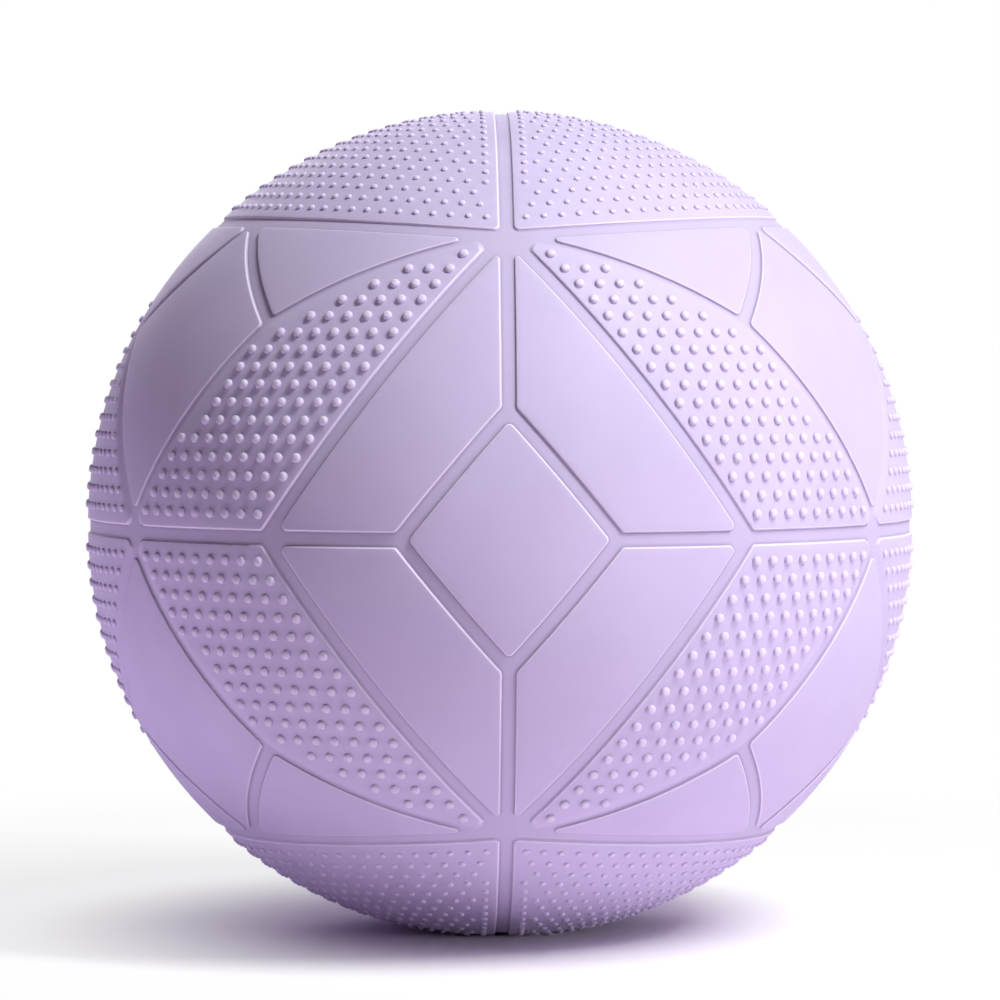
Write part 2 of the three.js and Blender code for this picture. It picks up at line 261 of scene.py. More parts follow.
@dataclass(frozen=True)
class Edge:
    """One edge of a panel: the channel beside it, the corner where it starts, and its form."""

    channel: Channel
    corner: Vector | None
    form: EdgeForm = EdgeForm.CRISP


@dataclass(frozen=True)
class StudField:
    """Rows of studs on a panel, each row parallel to a channel.

    The rows start beside one channel and their studs beside another, and studs keep clear of every edge.
    A mirrored field is laid out on the panel's front half and repeated on its back half.
    Where each row is shifted along from the last, a column of studs beside the start evens the rows' ends.
    """

    rows_along: Channel
    starts_beside: Channel
    near: Vector
    mirrored: bool = False
    scale: float = 1.0
    margin: float = 1.9 * MM
    start_margin: float = 3.5 * MM
    first_row: float = 4.5 * MM
    row_pitch: float = 5.3 * MM
    stud_pitch: float = 5.9 * MM
    row_shift: float = 0.0
    column_from: int | None = None


@dataclass(frozen=True)
class PanelPlan:
    """A kind of panel: a direction inside it, its edges in turn, and its studs if it has any.

    A halved plan has the edges of its front half, which is mirrored front to back.
    """

    kind: str
    inside: Vector
    edges: tuple[Edge, ...]
    halved: bool = False
    studs: StudField | None = None

    @property
    def slot(self) -> Slot:
        """The material slot that the panel takes its finish from."""
        return Slot.STUDDED_PANEL if self.studs else Slot.SMOOTH_PANEL


DIAMOND = PanelPlan(
    "diamond",
    FRONT,
    (
        Edge(DIAMOND_KITE, DIAMOND_TOP),
        Edge(DIAMOND_KITE.mirrored(BELOW), DIAMOND_SIDE),
        Edge(DIAMOND_KITE.mirrored(LEFT_BELOW), mirror(DIAMOND_TOP, BELOW)),
        Edge(DIAMOND_KITE.mirrored(LEFT), mirror(DIAMOND_SIDE, LEFT)),
    ),
)
KITE = PanelPlan(
    "kite",
    direction(14, 16),
    (
        Edge(MERIDIAN, CREST),
        Edge(DIAMOND_KITE, DIAMOND_TOP),
        Edge(EQUATOR, DIAMOND_SIDE),
        Edge(KITE_BLADE, WAIST),
    ),
)
BLADE = PanelPlan(
    "blade",
    direction(34, 18),
    (
        Edge(KITE_BLADE, CREST),
        Edge(EQUATOR, WAIST),
        Edge(BLADE_PETAL, HIP, EdgeForm.EASED),
        Edge(BLADE_FIN, KNEE, EdgeForm.EASED),
    ),
    studs=StudField(EQUATOR, KITE_BLADE, near=KITE_BLADE_MIDDLE),
)
FIN = PanelPlan(
    "fin",
    direction(38, 38),
    (Edge(BLADE_FIN, CREST), Edge(FIN_PETAL, KNEE), Edge(COLLAR, SHOULDER)),
)
PETAL = PanelPlan(
    "petal",
    direction(60, 26),
    (
        Edge(FIN_PETAL, SHOULDER),
        Edge(BLADE_PETAL, KNEE),
        Edge(ARCH, HIP),
        Edge(PETAL_CROWN, TEMPLE),
    ),
)
FLANK = PanelPlan(
    "flank",
    direction(90, 12),
    (
        Edge(EQUATOR, HIP),
        Edge(ARCH.mirrored(BEHIND), mirror(HIP, BEHIND), EdgeForm.EASED),
        Edge(ARCH, ARCH_TOP, EdgeForm.EASED),
    ),
    studs=StudField(
        EQUATOR,
        ARCH,
        near=ARCH_MIDDLE,
        mirrored=True,
        scale=0.8,
        margin=2.4 * MM,
        stud_pitch=5.4 * MM,
    ),
)
CROWN = PanelPlan(
    "crown",
    direction(84, 41),
    (Edge(COLLAR, None), Edge(PETAL_CROWN, SHOULDER), Edge(ARCH, TEMPLE)),
    halved=True,
)
CAP = PanelPlan(
    "cap",
    direction(90, 70),
    (Edge(COLLAR, CREST), Edge(MERIDIAN, mirror(CREST, BEHIND))),
    studs=StudField(
        COLLAR,
        MERIDIAN,
        near=CREST,
        mirrored=True,
        scale=0.66,
        margin=3.0 * MM,
        stud_pitch=5.2 * MM,
        row_shift=1.77 * MM,
        column_from=3,
    ),
)


def pick_only(*pieces: Piece) -> None:
    """Select these pieces alone and make the first one active.

    Args:
        *pieces: The pieces to select.
    """
    bpy.ops.object.select_all(action="DESELECT")
    for piece in pieces:
        piece.select_set(True)
    bpy.context.view_layer.objects.active = pieces[0]


@contextmanager
def editing(piece: Piece, picks: str = "FACE") -> Iterator[None]:
    """Open one piece, and nothing else, in edit mode.

    Args:
        piece: The piece to edit.
        picks: What selecting picks: VERT, EDGE or FACE.
    """
    pick_only(piece)
    bpy.ops.object.mode_set(mode="EDIT")
    bpy.ops.mesh.select_mode(type=picks)
    yield
    bpy.ops.object.mode_set(mode="OBJECT")


@contextmanager
def edit_mesh(piece: Piece) -> Iterator[bmesh.types.BMesh]:
    """Reach the mesh of a piece that is open in edit mode, and hand its changes back.

    Args:
        piece: The piece, open in edit mode.

    Yields:
        The mesh, to select or move its points, edges and faces.
    """
    mesh = bmesh.from_edit_mesh(piece.data)
    yield mesh
    bmesh.update_edit_mesh(piece.data)


def select_faces(piece: Piece, wanted: Callable[[bmesh.types.BMFace], bool]) -> None:
    """Select the faces that a test picks, and no others.

    Args:
        piece: The piece, open in edit mode.
        wanted: The test, which is given a face.
    """
    bpy.ops.mesh.select_all(action="DESELECT")
    with edit_mesh(piece) as mesh:
        for face in mesh.faces:
            if wanted(face):
                face.select_set(True)


def start_piece(name: str, add: Callable[..., set[str]], **sizes: object) -> Piece:
    """Add a primitive, with nothing else selected, and name it and its mesh.

    Args:
        name: The piece's name.
        add: The operator that adds the primitive.
        **sizes: The operator's own settings.

    Returns:
        The primitive.
    """
    bpy.ops.object.select_all(action="DESELECT")
    add(**sizes)
    piece = bpy.context.object
    piece.name = name
    piece.data.name = name
    return piece


def own_copy(piece: Piece, name: str) -> Piece:
    """Copy a piece with a mesh of its own.

    Args:
        piece: The piece to copy.
        name: The copy's name.

    Returns:
        The copy.
    """
    copy = piece.copy()
    copy.data = piece.data.copy()
    copy.name = name
    copy.data.name = name
    bpy.context.collection.objects.link(copy)
    return copy


def place_mesh(piece: Piece, matrix: Matrix) -> None:
    """Move a piece's mesh, and turn its faces out again where the move mirrors it.

    Args:
        piece: The piece to move.
        matrix: The move.
    """
    piece.data.transform(matrix)
    if matrix.determinant() < 0:
        piece.data.flip_normals()


def lift(piece: Piece) -> None:
    """Lift a piece that was modelled about the middle of the ball to the ball's height."""
    place_mesh(piece, Matrix.Translation(UP * CENTRE_HEIGHT))


def press_to_floor(piece: Piece) -> None:
    """Flatten what lies below the floor, with each layer as far above it as its depth in the wall.

    Args:
        piece: The piece, at the ball's height.
    """
    centre = UP * CENTRE_HEIGHT
    for vertex in piece.data.vertices:
        depth = max(0.0, BALL_RADIUS - (vertex.co - centre).length)
        vertex.co.z = max(vertex.co.z, depth)


def apply_modifier(piece: Piece, kind: str, **settings: object) -> None:
    """Add a modifier to a piece, set it and apply it.

    Args:
        piece: The piece to finish.
        kind: Blender's name for the modifier's type.
        **settings: The modifier's own settings.
    """
    pick_only(piece)
    modifier = piece.modifiers.new(kind.title(), kind)
    for name, value in settings.items():
        setattr(modifier, name, value)
    bpy.ops.object.modifier_apply(modifier=modifier.name)


def cut_away(piece: Piece, cutter: Piece) -> None:
    """Cut the shape of a cutter out of a piece."""
    apply_modifier(piece, "BOOLEAN", operation="DIFFERENCE", object=cutter, solver="EXACT")


def shade(piece: Piece, crease: float = CREASE) -> None:
    """Shade a piece smooth, apart from edges that are sharper than a crease angle."""
    pick_only(piece)
    bpy.ops.object.shade_smooth_by_angle(angle=crease)


def fit(piece: Piece, body: str, node: str, slot: Slot) -> None:
    """Let a piece ride on its body in the place of a node, with a material slot.

    Args:
        piece: The finished piece.
        body: The body that it rides on.
        node: The node that it replaces.
        slot: The material slot that it takes its finish from.
    """
    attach(piece, body)
    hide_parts(node)
    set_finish(piece, slot.value)


@dataclass(frozen=True)
class RimPoint:
    """A point of a panel's cut edge: where it is, and the way out and the easing of the edge on each side."""

    start: Vector
    ways: tuple[Vector, Vector]
    eased: tuple[float, float]
    nearly_straight: float = 0.98
    longest_mitre: float = 7.0

    def drawn(self, crisp: Vector, eased: Vector) -> Vector:
        """Give the point moved out along the face and down by one step of the rim's profile.

        Args:
            crisp: The run and drop of a crisp edge.
            eased: The run and drop of an eased edge.

        Returns:
            The moved point.
        """
        (run, drop), (next_run, next_drop) = (crisp.lerp(eased, share) for share in self.eased)
        way, next_way = self.ways
        lean = way.dot(next_way)
        if lean > self.nearly_straight:
            offset = (way * run + next_way * next_run) / 2
        else:
            offset = way * (run - lean * next_run) + next_way * (next_run - lean * run)
            offset /= 1 - lean * lean
        longest = self.longest_mitre * max(run, next_run)
        if offset.length > longest:
            offset *= longest / offset.length
        return (self.start + offset).normalized() * (BALL_RADIUS - (drop + next_drop) / 2)


@dataclass
class PanelMould:
    """Models one panel of each kind about the middle of the ball, ready for copying."""

    fineness: int = 7
    crisp_round: float = 0.5 * MM
    crisp_wall: float = math.radians(72)
    crisp_cove: float = 0.08 * MM
    cove_rise: float = 0.3
    eased_run: float = 4.4 * MM
    corner_round: float = 1.1 * MM
    tip_round: float = 0.4 * MM
    widest_tip: float = math.radians(46)
    corner_cuts: int = 4
    corner_span: float = 3 * MM
    round_steps: int = 4
    bond_depth: float = 0.04 * MM
    snap: float = 0.35 * MM
    weld: float = 0.15 * MM
    settling_turns: int = 4
    face_tolerance: float = 0.001 * MM

    def model(self, plan: PanelPlan) -> Piece:
        """Model a panel as a closed solid: face, rounded rim and underside.

        Args:
            plan: The kind of panel.

        Returns:
            The panel about the middle of the ball, in the front upper right eighth or on its borders.
        """
        panel = self.cut_face(plan)
        if plan.halved:
            apply_modifier(panel, "MIRROR", use_axis=(False, True, False), merge_threshold=HAIR)
        self.draw_rim_down(plan, panel)
        self.close_underside(panel)
        shade(panel)
        return panel

    def inset(self, edge: Edge) -> float:
        """Give how far the rounding of an edge reaches into the panel's face."""
        crisp = self.crisp_round * math.sin(self.crisp_wall)
        return crisp if edge.form is EdgeForm.CRISP else self.eased_run / 2

    def inset_circles(self, plan: PanelPlan) -> list[Circle]:
        """Give the circles where the flat of the face ends, edge by edge."""
        return [edge.channel.line_inside(plan.inside, self.inset(edge)) for edge in plan.edges]

    def cut_face(self, plan: PanelPlan) -> Piece:
        """Cut the panel's face from a sphere along its edges and round its corners.

        Args:
            plan: The kind of panel.

        Returns:
            The open sheet of the face.
        """
        add = bpy.ops.mesh.primitive_ico_sphere_add
        sheet = start_piece(plan.kind, add, subdivisions=self.fineness, radius=BALL_RADIUS)
        circles = self.inset_circles(plan)
        with editing(sheet):
            for circle in circles:
                bpy.ops.mesh.select_all(action="SELECT")
                inside = circle.holds(plan.inside)
                bpy.ops.mesh.bisect(
                    plane_co=circle.axis * (BALL_RADIUS * math.cos(circle.reach)),
                    plane_no=circle.axis,
                    clear_inner=inside,
                    clear_outer=not inside,
                    threshold=self.snap,
                )
            if plan.halved:
                bpy.ops.mesh.select_all(action="SELECT")
                bpy.ops.mesh.bisect(plane_co=MIDDLE, plane_no=-FRONT, clear_outer=True)
            self.keep_region(sheet, plan)
            self.true_cut_edge(sheet, circles)
            for index, edge in enumerate(plan.edges):
                if edge.corner is not None:
                    self.round_corner(sheet, plan, circles[index - 1], circles[index], edge.corner)
            bpy.ops.mesh.select_all(action="SELECT")
            bpy.ops.mesh.remove_doubles(threshold=self.weld)
        return sheet

    @staticmethod
    def keep_region(sheet: Piece, plan: PanelPlan) -> None:
        """Delete what the cuts left elsewhere on the ball.

        Args:
            sheet: The cut sheet, open in edit mode.
            plan: The kind of panel.
        """
        bpy.ops.mesh.select_all(action="DESELECT")
        wanted = plan.inside * BALL_RADIUS
        with edit_mesh(sheet) as mesh:
            kept = min(mesh.faces, key=lambda face: (face.calc_center_median() - wanted).length)
            kept.select_set(True)
        bpy.ops.mesh.select_linked()
        bpy.ops.mesh.select_all(action="INVERT")
        bpy.ops.mesh.delete(type="FACE")

    def true_cut_edge(self, sheet: Piece, circles: list[Circle]) -> None:
        """Set the sheet's edge points on their circles, where a cut ran beside a point and not through it.

        Args:
            sheet: The sheet, open in edit mode.
            circles: The circles that it was cut along.
        """
        with edit_mesh(sheet) as mesh:
            for point in mesh.verts:
                if point.is_boundary:
                    spot = point.co.normalized()
                    close = [circle for circle in circles if circle.distance(spot) < 2 * self.snap]
                    for circle in close * self.settling_turns:
                        spot = circle.nearest(spot)
                    point.co = spot * BALL_RADIUS

    def round_corner(
        self, sheet: Piece, plan: PanelPlan, before: Circle, after: Circle, near: Vector
    ) -> None:
        """Round one corner of a sheet by a few short cuts, more finely where it is a sharp tip.

        Args:
            sheet: The sheet, open in edit mode.
            plan: The kind of panel.
            before: The edge that ends at the corner.
            after: The edge that starts there.
            near: A direction near the corner.
        """
        corner = before.crossing(after, near)
        peak = corner * BALL_RADIUS
        first, last = (circle.outward(corner, plan.inside) for circle in (before, after))
        opening = math.pi - first.angle(last)
        radius = self.tip_round if opening < self.widest_tip else self.corner_round
        middle = peak - (first + last).normalized() * (radius / math.sin(opening / 2))
        span = radius / math.tan(opening / 2) + self.corner_span
        for step in range(self.corner_cuts):
            facing = first.slerp(last, (step + 1) / (self.corner_cuts + 1))
            select_faces(sheet, lambda face: (face.calc_center_median() - peak).length < span)
            bpy.ops.mesh.bisect(
                plane_co=middle + facing * radius,
                plane_no=facing,
                clear_outer=True,
                threshold=HAIR,
            )
        with edit_mesh(sheet) as mesh:
            for point in mesh.verts:
                point.co = point.co.normalized() * BALL_RADIUS

    def rim_points(self, plan: PanelPlan, sheet: Piece) -> dict[tuple, RimPoint]:
        """Read the edge of an open sheet.

        Args:
            plan: The kind of panel.
            sheet: The sheet, open in edit mode.

        Returns:
            The edge's points, by their coordinates.
        """
        circles = list(zip(plan.edges, self.inset_circles(plan)))
        if plan.halved:
            circles += [(edge, circle.mirrored(BEHIND)) for edge, circle in circles]
        mesh = bmesh.from_edit_mesh(sheet.data)
        points = {}
        for point in mesh.verts:
            if point.is_boundary:
                sides = [edge for edge in point.link_edges if edge.is_boundary][:2]
                ways = tuple(self.way_out(edge) for edge in sides)
                eased = tuple(self.easing(edge, circles) for edge in sides)
                points[tuple(point.co)] = RimPoint(point.co.copy(), ways, eased)
        return points

    @staticmethod
    def easing(side: bmesh.types.BMEdge, circles: list[tuple[Edge, Circle]]) -> float:
        """Tell how eased a stretch of the rim is.

        Args:
            side: The stretch.
            circles: The panel's edges and the circles where its face ends.

        Returns:
            A share from 0, crisp, to 1, eased, between the two nearest edges.
        """
        start, end = (point.co for point in side.verts)
        spot = (start + end).normalized()
        near = sorted((circle.distance(spot), edge.form is EdgeForm.EASED) for edge, circle in circles)
        (near_gap, near_eased), (next_gap, next_eased) = near[:2]
        share = near_gap / max(near_gap + next_gap, TINY)
        return near_eased * (1 - share) + next_eased * share

    @staticmethod
    def way_out(side: bmesh.types.BMEdge) -> Vector:
        """Find the way that leaves a sheet across one of its edges.

        Args:
            side: A stretch of the sheet's edge.

        Returns:
            The unit vector along the ball's face.
        """
        start, end = (point.co for point in side.verts)
        middle = (start + end) / 2
        across = (end - start).cross(middle).normalized()
        return across if across.dot(middle - side.link_faces[0].calc_center_median()) > 0 else -across

    def rim_profile(self) -> list[tuple[Vector, Vector]]:
        """Give the rim's steps from the face to the carcass.

        Returns:
            For each step, the run out from the face and the drop below it, for a crisp and an eased edge.
        """
        bottom = CHANNEL_DEPTH + self.bond_depth
        crisp = []
        for step in range(1, self.round_steps + 1):
            turn = self.crisp_wall * step / self.round_steps
            crisp.append(Vector((self.crisp_round * math.sin(turn), self.crisp_round * (1 - math.cos(turn)))))
        run, drop = crisp[-1]
        cove_top = CHANNEL_DEPTH - self.crisp_cove
        run += (cove_top - drop) / math.tan(self.crisp_wall)
        crisp.append(Vector((run, cove_top)))
        crisp.append(Vector((run + self.crisp_cove, CHANNEL_DEPTH - self.crisp_cove * self.cove_rise)))
        crisp.append(Vector((run + self.crisp_cove * 2, bottom)))
        eased = []
        for step in range(1, len(crisp) + 1):
            share = step / len(crisp)
            eased.append(Vector((self.eased_run * share, bottom * share * share * (3 - 2 * share))))
        return list(zip(crisp, eased))

    def draw_rim_down(self, plan: PanelPlan, panel: Piece) -> None:
        """Extrude the sheet's edge ring by ring down a rounded profile to the carcass.

        Args:
            plan: The kind of panel.
            panel: The open sheet of the face.
        """
        # Painted highlight: the lip attribute marks where a crisp edge turns over, for the finish to paint it
        # paler.
        panel.data.attributes.new(LIP_HIGHLIGHT, "FLOAT", "POINT")
        with editing(panel, "EDGE"):
            ring = self.rim_points(plan, panel)
            bpy.ops.mesh.select_all(action="DESELECT")
            with edit_mesh(panel) as mesh:
                for edge in mesh.edges:
                    edge.select_set(edge.is_boundary)
            for step, (crisp, eased) in enumerate(self.rim_profile(), start=1):
                bpy.ops.mesh.extrude_edges_indiv()
                turned_over = max(0.0, math.sin(math.pi * step / self.round_steps))
                moved = {}
                with edit_mesh(panel) as mesh:
                    lip = mesh.verts.layers.float[LIP_HIGHLIGHT]
                    for point in mesh.verts:
                        if point.select:
                            rim = ring[tuple(point.co)]
                            point.co = rim.drawn(crisp, eased)
                            point[lip] = (1 - sum(rim.eased) / 2) * turned_over
                            moved[tuple(point.co)] = rim
                ring = moved

    def close_underside(self, panel: Piece) -> None:
        """Close a panel below by a copy of its face, shrunk to the bond and bridged to the rim.

        Args:
            panel: The panel with its rim drawn down.
        """
        shrink = (FLOOR_RADIUS - self.bond_depth) / BALL_RADIUS
        face_radius = BALL_RADIUS - self.face_tolerance
        with editing(panel):
            select_faces(panel, lambda face: all(point.co.length > face_radius for point in face.verts))
            bpy.ops.mesh.duplicate()
            bpy.ops.transform.resize(value=(shrink, shrink, shrink), center_override=MIDDLE)
            bpy.ops.mesh.flip_normals()
            bpy.ops.mesh.select_all(action="DESELECT")
            bpy.ops.mesh.select_mode(type="EDGE")
            bpy.ops.mesh.select_non_manifold(
                use_wire=False, use_multi_face=False, use_non_contiguous=False, use_verts=False
            )
            bpy.ops.mesh.bridge_edge_loops()
            bpy.ops.mesh.select_all(action="SELECT")
            bpy.ops.mesh.normals_make_consistent(inside=False)


@dataclass(frozen=True)
class Stud:
    """A massage stud: a blunt dome on a short root that is sunk into its panel."""

    radius: float = 1.42 * MM
    height: float = 1.0 * MM
    root: float = 0.55 * MM
    squareness: float = 3.6
    # How far towards the paler colour the stud is painted at its top, as painted highlight
    painted_highlight: float = 0.55
    sides: int = 10
    rings: int = 8
    most_rows: int = 40
    column_gap: float = 0.6
    middle_gap: float = 0.35
    missed: float = 1e-4

    def model(self) -> Piece:
        """Model the stud from half a sphere.

        Returns:
            The stud with its foot on the middle of the ball, standing along +Z.
        """
        add = bpy.ops.mesh.primitive_uv_sphere_add
        stud = start_piece("stud", add, segments=self.sides, ring_count=self.rings, radius=self.radius)
        with editing(stud, "VERT"):
            bpy.ops.mesh.select_all(action="SELECT")
            bpy.ops.mesh.bisect(plane_co=MIDDLE, plane_no=UP, clear_inner=True, use_fill=True)
            with edit_mesh(stud) as mesh:
                for point in mesh.verts:
                    sizes = (math.hypot(point.co.x, point.co.y), point.co.z)
                    bulge = sum(abs(size / self.radius) ** self.squareness for size in sizes)
                    point.co /= bulge ** (1 / self.squareness)
            bpy.ops.mesh.select_all(action="SELECT")
            bpy.ops.transform.resize(value=(1, 1, self.height / self.radius), center_override=MIDDLE)
            select_faces(stud, lambda face: face.calc_center_median().z < HAIR)
            bpy.ops.mesh.extrude_region_move(TRANSFORM_OT_translate={"value": -UP * self.root})
            bpy.ops.mesh.select_all(action="SELECT")
            bpy.ops.mesh.normals_make_consistent(inside=False)
        # Painted highlight: the stud is marked paler the higher up it is.
        lip = stud.data.attributes.new(LIP_HIGHLIGHT, "FLOAT", "POINT")
        for point in stud.data.vertices:
            lip.data[point.index].value = self.painted_highlight * max(0.0, point.co.z / self.height)
        pick_only(stud)
        bpy.ops.object.shade_smooth()
        return stud

    def spots(self, plan: PanelPlan) -> list[Vector]:
        """Work out where the studs of a panel stand.

        Args:
            plan: A kind of panel with studs.

        Returns:
            The studs' directions from the middle of the ball.
        """
        layout = plan.studs
        first = layout.rows_along.line_inside(plan.inside, layout.first_row)
        spots = []
        for row in range(self.most_rows):
            spots += self.row_spots(plan, first.moved(plan.inside, row * layout.row_pitch), row)
        if layout.mirrored:
            spots = self.both_halves(spots, layout.stud_pitch)
        circles = [edge.channel.line_inside(plan.inside, 0.0) for edge in plan.edges]
        return [
            spot
            for spot in spots
            if all(
                circle.holds(spot) == circle.holds(plan.inside) and circle.distance(spot) > layout.margin
                for circle in circles
            )
        ]

    def row_spots(self, plan: PanelPlan, row: Circle, index: int) -> list[Vector]:
        """Space studs along one row, from beside the starting channel right across the panel.

        Args:
            plan: The kind of panel.
            row: The row's circle.
            index: The row's number, from 0.

        Returns:
            Directions along the row, some of them off the panel.
        """
        layout = plan.studs
        start_circle = layout.starts_beside.line_inside(plan.inside, layout.start_margin)
        start = row.crossing(start_circle, layout.near)
        if row.reach <= 0 or abs(start.length - 1) > self.missed:
            return []
        around = math.sin(row.reach) * BALL_RADIUS
        ahead = row.axis.cross(start).dot(start_circle.outward(start, plan.inside)) < 0
        turn = (1 if ahead else -1) / around
        pitch = layout.stud_pitch
        shift = index * layout.row_shift % pitch
        distances = [shift + step * pitch for step in range(int(math.pi * around / pitch))]
        if layout.column_from is not None and index >= layout.column_from:
            distances = [0.0] + [distance for distance in distances if distance > self.column_gap * pitch]
        return [Matrix.Rotation(turn * distance, 3, row.axis) @ start for distance in distances]

    def both_halves(self, spots: list[Vector], pitch: float) -> list[Vector]:
        """Repeat the studs of a panel's front half on its back half.

        Args:
            spots: Studs laid out from the front.
            pitch: The distance between studs of a row.

        Returns:
            The studs of both halves, with those near the plane between the halves set on it.
        """
        near = self.middle_gap * pitch / BALL_RADIUS
        front = [spot for spot in spots if spot.y < -near]
        middle = [Vector((spot.x, 0, spot.z)).normalized() for spot in spots if abs(spot.y) <= near]
        return front + middle + [mirror(spot, BEHIND) for spot in front]


@dataclass
class Panels:
    """All the panels round the ball, copied from one mould of each kind."""

    mould: PanelMould = field(default_factory=PanelMould)
    stud: Stud = field(default_factory=Stud)

    def build(self) -> list[Piece]:
        """Model, stud and copy every panel.

        Returns:
            The finished panels.
        """
        stud = self.stud.model()
        pieces = []
        for plan in (DIAMOND, KITE, BLADE, FIN, PETAL, FLANK, CROWN, CAP):
            panel = self.mould.model(plan)
            for name, signs in self.places(plan):
                pieces.append(self.placed(plan, panel, stud, name, signs))
            bpy.data.objects.remove(panel)
        bpy.data.objects.remove(stud)
        return pieces

    @staticmethod
    def places(plan: PanelPlan) -> list[tuple[str, Signs]]:
        """List where a kind of panel goes.

        Args:
            plan: The kind of panel.

        Returns:
            The name and the mirror signs of each copy.
        """
        front_back = (("front", 1), ("back", -1))
        upper_lower = (("upper", 1), ("lower", -1))
        right_left = (("right", 1), ("left", -1))
        if plan is DIAMOND:
            return [(f"diamond_{word}", (1, sign, 1)) for word, sign in front_back]
        if plan in (FLANK, CROWN, CAP):
            return [
                (f"{plan.kind}_{height}_{side}", (x, 1, z))
                for (height, z), (side, x) in product(upper_lower, right_left)
            ]
        return [
            (f"{plan.kind}_{depth}_{height}_{side}", (x, y, z))
            for (depth, y), (height, z), (side, x) in product(front_back, upper_lower, right_left)
        ]

    def placed(self, plan: PanelPlan, panel: Piece, stud: Piece, name: str, signs: Signs) -> Piece:
        """Copy a panel with its studs to its place on the ball.

        Args:
            plan: The kind of panel.
            panel: The panel about the middle of the ball.
            stud: The stud to copy.
            name: The copy's name.
            signs: The mirror signs of its place.

        Returns:
            The copy in its place.
        """
        piece = own_copy(panel, name)
        below = signs[2] < 0
        if plan.studs:
            self.add_studs(piece, stud, plan, below)
        place_mesh(piece, Matrix.Translation(UP * CENTRE_HEIGHT) @ Matrix.Diagonal((*signs, 1)))
        if below:
            press_to_floor(piece)
        fit(piece, "ball", name.replace(plan.kind, f"{plan.kind}_panel", 1), plan.slot)
        return piece

    def add_studs(self, piece: Piece, stud: Piece, plan: PanelPlan, below: bool) -> None:
        """Copy the stud all over a panel and join the copies to it.

        Args:
            piece: The panel, about the middle of the ball.
            stud: The stud to copy.
            plan: The kind of panel.
            below: Whether the panel is on the lower half, where studs on the pressed flat are left out.
        """
        copies = []
        for spot in self.stud.spots(plan):
            if below and spot.z * BALL_RADIUS > CENTRE_HEIGHT:
                continue
            copy = own_copy(stud, "stud_copy")
            place_mesh(
                copy,
                Matrix.Translation(spot * BALL_RADIUS)
                @ UP.rotation_difference(spot).to_matrix().to_4x4()
                @ Matrix.Scale(plan.studs.scale, 4),
            )
            copies.append(copy)
        LOG.info("%s has %d studs", piece.name, len(copies))
        pick_only(piece, *copies)
        bpy.ops.object.join()


def hex_colour(code: str) -> tuple[float, float, float, float]:
    """Turn an sRGB hex colour to linear values with full alpha.

    Args:
        code: The colour, as #RRGGBB.

    Returns:
        Red, green, blue and alpha.
    """
    parts = [int(code[index:index + 2], 16) / 255 for index in (1, 3, 5)]
    linear = [part / 12.92 if part <= 0.04045 else ((part + 0.055) / 1.055) ** 2.4 for part in parts]
    return (*linear, 1.0)


def add_node(
    tree: Tree,
    kind: str,
    settings: dict[str | int, object] | None = None,
    links: dict[str | int, Socket] | None = None,
) -> bpy.types.Node:
    """Add a node to a tree, set it and link its inputs.

    Args:
        tree: The tree of a material or the world.
        kind: The node's type name, without its ShaderNode prefix.
        settings: Values for the node's own properties or, where it has none of that name, its inputs.
        links: Sockets to link to its inputs, by the inputs' names or numbers.

    Returns:
        The node.
    """
    node = tree.nodes.new(f"ShaderNode{kind}")
    for name, value in (settings or {}).items():
        if isinstance(name, str) and hasattr(node, name):
            setattr(node, name, value)
        else:
            node.inputs[name].default_value = value
    for name, socket in (links or {}).items():
        tree.links.new(socket, node.inputs[name])
    return node


def new_material(name: str) -> tuple[bpy.types.Material, Tree]:
    """Start a node material.

    Args:
        name: The material's name.

    Returns:
        The material and its empty tree.
    """
    material = bpy.data.materials.new(name)
    material.use_nodes = True
    material.node_tree.nodes.clear()
    return material, material.node_tree


def dress(piece: Piece, material: bpy.types.Material) -> None:
    """Give a piece one material all over."""
    piece.data.materials.clear()
    piece.data.materials.append(material)


